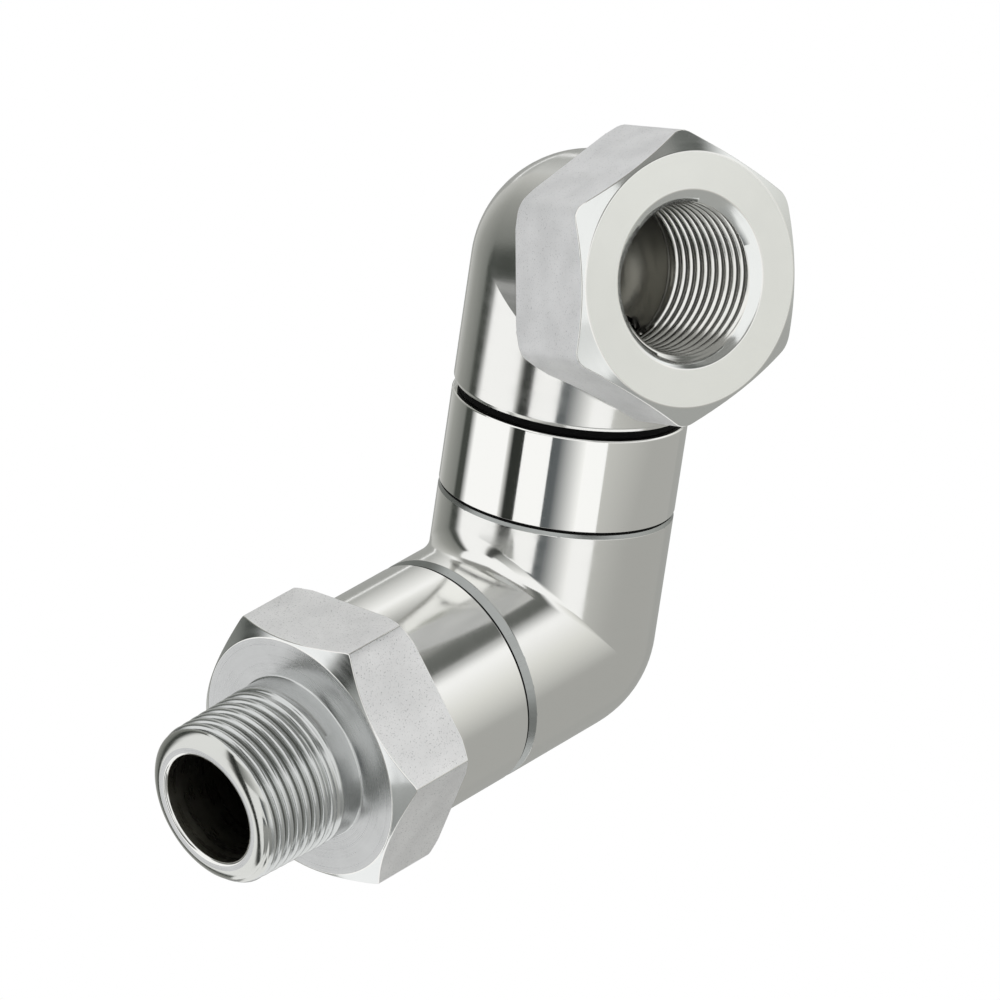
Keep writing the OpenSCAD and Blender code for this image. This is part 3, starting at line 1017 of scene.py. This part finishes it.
bm = bmesh.new()
spin_outline(
    bm,
    [(UNDERCUT_R, THREAD_FOOT), (UNDERCUT_R, UNDERCUT_FOOT), (BALL_R, BALL_TOP)]
    + quarter(BALL_R)[::-1],
    closed=False, sides=CHAMBER_SIDES,
)
bmesh.ops.transform(bm, matrix=to_second_leg, verts=bm.verts[:])
cut_hole(bm, OUTLET_LEG - SPIGOT_ROOM)
mark_edges(bm, 30)
# The chamber's darker grey and the hole's near black are painted shade.
chamber = make_piece(bm, "outlet_chamber_bore", on_outlet, [cored_chamber_painted_shade, deep_bore_painted_shade], 0.10)
shell = chamber.modifiers.new("chamber_wall", "SOLIDIFY")
shell.thickness = CHAMBER_WALL * MM
shell.offset = 1
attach(chamber, "outlet")

# %% [markdown]
# ### The hexagon socket
#
# The socket is the adapter turned inside out: the same pipe thread is cut in a bore, and
# tapers inwards. Its rim is grown over the coned entry, the turned face and the hexagon,
# and back along a sleeve to the thread's foot. The hexagon's corners are rounded
# far more than the inlet's, so they show as soft, wide highlights.

# %% The hexagon socket
SOCKET_FACE_R = 19.75
SOCKET_CHAMFER = 2.3
SOCKET_REAR_CHAMFER = 1.0
ENTRY_R = 27.7 / 2
ENTRY_DEPTH = 1.1
SOCKET_CREST_R = 11.8
SOCKET_CORNER = 3.0
ENTRY_STEP = (1.15, 0.48)
LEAD = (0.15, 1.5)
THREAD_RELIEF = 0.2
LINER_R = SLEEVE_R - 0.1
thread_mouth = SOCKET_REACH - ENTRY_DEPTH


def socket_shape(radius, height):
    """The socket's radius: a tapered internal thread from a coned mouth to an undercut."""
    depth = thread_mouth - height
    tapered = radius - depth * TAPER
    lead = SOCKET_CREST_R + LEAD[0] - depth * LEAD[1]
    foot = UNDERCUT_R if height < THREAD_FOOT + THREAD_RELIEF else 0
    return max(tapered, lead, foot)


bm = bmesh.new()
foot_rim, mouth_rim = thread_wall(
    bm, THREAD_FOOT, thread_mouth, SOCKET_CREST_R + THREAD_DEPTH, SOCKET_CREST_R, SOCKET_FORM,
    socket_shape, 0,
)
# Painted shade: the feet of the socket's grooves take the dark root grey.
shade_roots(
    bm, lambda height: SOCKET_CREST_R - (thread_mouth - height) * TAPER,
    THREAD_FOOT + THREAD_RELIEF, thread_mouth - 0.4, 0.5, ROOT,
)
socket_hex = hexagon(0, SOCKET_CORNER)
socket_rear = SOCKET_REACH - OUTLET_HEX
rim = mouth_rim
for radius, height, material in [
    (SOCKET_CREST_R + ENTRY_STEP[0], SOCKET_REACH - ENTRY_STEP[1], CHAMFER),
    (ENTRY_R, SOCKET_REACH, CHAMFER),
    (SOCKET_FACE_R, SOCKET_REACH, TURNED),
    *hexagon_rings(
        socket_hex, SOCKET_FACE_R, SOCKET_REACH, SOCKET_CHAMFER, socket_rear, SOCKET_REAR_CHAMFER
    ),
    (LINER_R, socket_rear, TURNED),
    (LINER_R, THREAD_FOOT, BORE),
]:
    rim = grow(bm, rim, radius, height, material)
bmesh.ops.bridge_loops(bm, edges=rim + foot_rim)
mark_edges(bm, 24, lambda edge: min(math.hypot(*vert.co.xy) for vert in edge.verts) > ENTRY_R - 0.1)
socket = make_piece(
    bm, "outlet_hexagon_socket", on_socket,
    [
        thread_outlet, polished_outlet, turned_outlet, blasted_socket, bored_steel, socket_root_painted_shade,
        chamfer_outlet,
    ],
    0.16, edge_material=POLISHED,
)
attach(socket, "outlet")

# %% [markdown]
# ## The collar
#
# The collar is a plain turned sleeve, but it is the brightest piece, polished to a mirror.
# It holds the upper bearing and ends in the spigot that carries the outlet elbow. One
# closed outline gives all of it, and its edges are only just broken.

# %% The polished collar
COLLAR_CHAMFER = 0.2
SPIGOT_CHAMFER = 0.6
SPIGOT_LENGTH = 6.5
collar_foot = LEG + SWIVEL_GAP
bm = bmesh.new()
spigot_end = gasket_foot + GASKET + SPIGOT_LENGTH
spin_outline(bm, [
    (WASHER_SEAT_R, collar_foot), (BARREL_R, collar_foot), (BARREL_R, gasket_foot - COLLAR_CHAMFER),
    (BARREL_R - COLLAR_CHAMFER, gasket_foot), (SPIGOT_R, gasket_foot),
    (SPIGOT_R, spigot_end - SPIGOT_CHAMFER), (SPIGOT_R - SPIGOT_CHAMFER, spigot_end),
    (PASSAGE_R, spigot_end), *bearing[::-1],
])
mark_edges(bm, 24)
collar = make_piece(bm, "outlet_housing_collar", on_swivel, [polished_collar], 0.10)
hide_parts("outlet_housing")
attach(collar, "outlet")

# %% [markdown]
# ### The gasket
#
# The gasket is a flat rubber ring, squeezed between the collar and the outlet elbow. It
# lies back from the barrel's surface and bulges a little, so it shows as a thick black line
# with no shine. A half circle, flattened to the bulge, makes the edge of its outline.

# %% The squeezed gasket
GASKET_R = BARREL_R - 0.9
GASKET_ROOM = 0.02
BULGE = 0.25
BULGE_STEPS = 8
bm = bmesh.new()
edge_steps = [math.pi * (step / BULGE_STEPS - 0.5) for step in range(BULGE_STEPS + 1)]
middle_height = gasket_foot + GASKET / 2
half_height = GASKET / 2 - GASKET_ROOM
spin_outline(bm, [(SPIGOT_HOLE_R, gasket_foot + GASKET_ROOM)] + [
    (GASKET_R - BULGE + BULGE * math.cos(angle), middle_height + half_height * math.sin(angle))
    for angle in edge_steps
] + [(SPIGOT_HOLE_R, gasket_foot + GASKET - GASKET_ROOM)])
gasket = make_piece(bm, "outlet_gasket_squeezed", on_swivel, [nitrile], 0)
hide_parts("outlet_gasket")
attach(gasket, "outlet")

# %% [markdown]
# ### The dust seals
#
# Each dust seal is a rubber ring in its groove, with a soft lip that fills the running gap
# above it. That lip is the fine black line at each mouth. Both are spun from one outline.

# %% The two lipped dust seals
SEAL_ROOM = 0.03
SEAL_LIP_R = BARREL_R - 0.22
SEAL_LIP = (0.06, 0.38)
SEAL_CROWN = (16.9, 0.42)
SEAL_SHOULDER = 0.2


def dust_seal(name, place):
    """A rubber ring in its groove, with a lip that reaches out through the running gap."""
    inner, outer = SEAL_IN_R + SEAL_ROOM, SEAL_OUT_R - SEAL_ROOM
    foot = LEG - SEAL_DEPTH + SEAL_ROOM
    bm = bmesh.new()
    spin_outline(bm, [
        (inner, foot), (outer, foot), (outer, LEG + SEAL_LIP[0]), (SEAL_LIP_R, LEG + SEAL_LIP[0]),
        (SEAL_LIP_R, LEG + SEAL_LIP[1]), (SEAL_CROWN[0], LEG + SEAL_CROWN[1]),
        (inner, LEG + SEAL_SHOULDER),
    ])
    seal = make_piece(bm, name + "_lipped", place, [nitrile], 0)
    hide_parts(name)
    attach(seal, "middle")


dust_seal("inlet_dust_seal", on_inlet)
dust_seal("outlet_dust_seal", on_swivel)

# %% [markdown]
# ### The parts inside
#
# Bushes, washers, rings and o-rings are closed in and plain, so the frame's own shapes are
# good enough. Each only needs a finish, which is found by the end of its name.

# %% The parts that the frame already shapes
kept_finishes = {
    "o_ring": nitrile, "thrust_washer": acetal, "bush": bronze, "retaining_ring": spring_steel,
}
for name, node in frame["nodes"].items():
    for ending, finish in kept_finishes.items():
        if name.endswith(ending):
            node.data.materials.clear()
            node.data.materials.append(finish)
            print(name, finish.name)

# %% [markdown]
# ## Studio
#
# Bright metal shows its surroundings more than itself. The photographer lit this fitting
# in a white tent with a few dark gaps, and the long bands on the barrels are those gaps
# and panels. So the scene is a pale floor far below, a white world, two soft lamps, and a
# round tent of white, grey and dark sheets that only the metal sees. Where no sheet hangs,
# the white shows. Angles are read round from the camera's side, and heights as elevations
# seen from the fitting. Each sheet's place was found by asking what a pale or dark band on
# the metal would mirror.

# %% The tent's walls
FLOOR_Z = -0.95
TENT_R = 0.5
LOWEST = -60
HIGHEST = 50
SHEET_STEP = 4
ROOF_MIDDLE_R = 0.001


def glowing(name, colours, low, high, middle=None):
    """A sheet's material, whose glow changes from low to high up it, or round it about middle."""
    material = bpy.data.materials.new(name)
    material.use_nodes = True
    tree = material.node_tree
    tree.nodes.clear()
    place = add(tree, "ShaderNodeTexCoord").outputs["Object"]
    if middle is not None:
        place = add(
            tree, "ShaderNodeMapping", {"Vector": place}, {"Rotation": (0, 0, -middle)}
        ).outputs["Vector"]
    split = add(tree, "ShaderNodeSeparateXYZ", {"Vector": place}).outputs
    along = split["Z"]
    if middle is not None:
        along = add(
            tree, "ShaderNodeMath", {0: split["Y"], 1: split["X"]}, operation="ARCTAN2"
        ).outputs["Value"]
    share = add(
        tree, "ShaderNodeMapRange", {"Value": along}, {"From Min": low, "From Max": high}
    ).outputs["Result"]
    shade = add(
        tree, "ShaderNodeMix", {0: share}, {6: linear(colours[0]), 7: linear(colours[1])},
        data_type="RGBA",
    ).outputs[2]
    glow = add(tree, "ShaderNodeEmission", {"Color": shade}, {"Strength": 1.0})
    add(tree, "ShaderNodeOutputMaterial", {"Surface": glow.outputs["Emission"]})
    return material


def sheet(name, left, right, profile, material):
    """A curved sheet of the tent, from an upright profile spun between two camera angles."""
    bm = bmesh.new()
    start = CAMERA_SIDE - math.pi / 2 + math.radians(left)
    foot, head = (
        bm.verts.new((radius * math.cos(start), radius * math.sin(start), height))
        for radius, height in profile
    )
    side = bm.edges.new((foot, head))
    bmesh.ops.spin(
        bm, geom=[foot, head, side], axis=(0, 0, 1), cent=(0, 0, 0),
        angle=math.radians(right - left), steps=max(2, round((right - left) / SHEET_STEP)),
    )
    mesh = bpy.data.meshes.new(name)
    bm.to_mesh(mesh)
    bm.free()
    made = bpy.data.objects.new(name, mesh)
    mesh.materials.append(material)
    bpy.context.scene.collection.objects.link(made)
    made.visible_camera = False
    made.visible_shadow = False
    made.visible_diffuse = False


def wall(name, left, right, low, high, colour, other=None, round_it=False):
    """A stretch of wall between two camera angles and two elevations, in degrees."""
    low_z, high_z = (TENT_R * math.tan(math.radians(angle)) for angle in (low, high))
    colours = (colour, other or colour)
    middle = CAMERA_SIDE - math.pi / 2 + math.radians(left + right) / 2
    half = math.radians(right - left) / 2
    glow = glowing(name, colours, -half, half, middle) if round_it else glowing(name, colours, low_z, high_z)
    sheet(name, left, right, [(TENT_R, low_z), (TENT_R, high_z)], glow)


wall("left_pale", -168, -148, LOWEST, HIGHEST, "#c6c6c3", "#9c9d99", True)
wall("left_mid", -148, -125, LOWEST, HIGHEST, "#9c9d99", "#7c7e7a", True)
wall("left_fall", -125, -121, LOWEST, HIGHEST, "#7c7e7a", "#434642", True)
wall("left_dark", -121, -113, LOWEST, HIGHEST, "#434642")
wall("left_rise", -113, -104, LOWEST, HIGHEST, "#434642", "#ffffff", True)
wall("gap_fall", -61, -55, LOWEST, HIGHEST, "#e6e6e4", "#30322f", True)
wall("left_gap", -55, -43, LOWEST, HIGHEST, "#2f312e")
wall("front_opening", -43, 4, 8, 42, "#858784", "#fafaf9", True)
wall("front_gap", -14, -6, -22, 8, "#585c5e", "#5e6264", True)
wall("front_rise", -6, 20, -22, 8, "#5e6264", "#fbfbfa", True)
wall("front_low", -25, 41, LOWEST, -22, "#7c7e7d", "#a8a9a7")
wall("right_low", 41, 135, LOWEST, -22, "#a9a9a6", "#aaaaa7")
wall("right_rise", 41, 135, -22, 3, "#aaaaa7", "#e2e2de")
wall("right_bright", 41, 135, 3, 22, "#e2e2de", "#ffffff")
wall("right_fall", 41, 135, 25, 34, "#ffffff", "#656764")
wall("right_dark", 41, 135, 34, 44, "#5b5d5a", "#6f716e")
wall("right_high", 41, 135, 44, HIGHEST, "#8a8b88", "#9a9a97")
wall("back_low", 135, 192, LOWEST, 5, "#a8a8a5", "#a2a3a0")
wall("back_rise", 135, 192, 8, 34, "#a2a3a0", "#fafaf9")
wall("back_high", 135, 192, 38, HIGHEST, "#f4f4f2", "#949491")
roof_z = TENT_R * math.tan(math.radians(HIGHEST))
roof_glow = glowing("roof", ("#8f8f8c", "#8f8f8c"), -1, 1)
sheet("roof", 60, 200, [(ROOF_MIDDLE_R, roof_z), (TENT_R, roof_z)], roof_glow)

# %% [markdown]
# ### Floor, world and lamps
#
# Light Path nodes make the floor and the world plain white to the camera and to the metal,
# and a dimmer light to everything matt. Two large lamps add soft shape to the matt flats.
# The metal doesn't mirror them, so they leave no square highlights.

# %% Floor, world and lamps
FLOOR_HALF = 4.0
AMBIENT = 0.65
floor_bm = bmesh.new()
bmesh.ops.create_grid(floor_bm, x_segments=1, y_segments=1, size=FLOOR_HALF)
bmesh.ops.translate(floor_bm, vec=(0, 0, FLOOR_Z), verts=floor_bm.verts[:])
floor_mesh = bpy.data.meshes.new("floor")
floor_bm.to_mesh(floor_mesh)
floor_bm.free()
floor = bpy.data.objects.new("floor", floor_mesh)
bpy.context.scene.collection.objects.link(floor)
floor_material, floor_tree, floor_shader = new_material(
    "pale_floor", Base_Color=linear("#f4f4f2"), Roughness=0.9
)
rays = add(floor_tree, "ShaderNodeLightPath")
seen = add(
    floor_tree, "ShaderNodeMath",
    {0: rays.outputs["Is Camera Ray"], 1: rays.outputs["Is Glossy Ray"]}, operation="MAXIMUM",
).outputs["Value"]
white = add(floor_tree, "ShaderNodeEmission", None, {"Color": linear("#ffffff"), "Strength": 1.0})
both = add(
    floor_tree, "ShaderNodeMixShader",
    {0: seen, 1: floor_shader.outputs["BSDF"], 2: white.outputs["Emission"]},
)
floor_tree.links.new(
    both.outputs["Shader"], floor_tree.nodes["Material Output"].inputs["Surface"]
)
floor_mesh.materials.append(floor_material)

world = bpy.data.worlds.new("studio")
bpy.context.scene.world = world
world.use_nodes = True
tree = world.node_tree
tree.nodes.clear()
rays = add(tree, "ShaderNodeLightPath")
mirror_rays = add(
    tree, "ShaderNodeMath",
    {0: rays.outputs["Is Glossy Ray"], 1: rays.outputs["Is Transmission Ray"]}, operation="MAXIMUM",
).outputs["Value"]
seen = add(
    tree, "ShaderNodeMath", {0: rays.outputs["Is Camera Ray"], 1: mirror_rays}, operation="MAXIMUM"
).outputs["Value"]
background = add(tree, "ShaderNodeBackground", None, {"Color": linear("#ffffff"), "Strength": 1.0})
ambient = add(tree, "ShaderNodeBackground", None, {"Color": linear("#ecedee"), "Strength": AMBIENT})
sky = add(
    tree, "ShaderNodeMixShader",
    {0: seen, 1: ambient.outputs["Background"], 2: background.outputs["Background"]},
)
add(tree, "ShaderNodeOutputWorld", {"Surface": sky.outputs["Shader"]})


def lamp(name, place, size, watts):
    """A soft square lamp that faces the fitting."""
    light = bpy.data.lights.new(name, "AREA")
    light.size = size
    light.energy = watts
    made = bpy.data.objects.new(name, light)
    bpy.context.scene.collection.objects.link(made)
    away = Vector(place) - LOOK_AT * MM
    made.matrix_world = Matrix.Translation(place) @ away.to_track_quat("Z", "Y").to_matrix().to_4x4()
    made.visible_camera = False
    made.visible_glossy = False


lamp("key", place=(-0.2, -1.3, 0.9), size=0.8, watts=6)
lamp("fill", place=(-1.3, 0.3, 0.9), size=0.9, watts=3)

bpy.context.scene.view_settings.view_transform = "Standard"
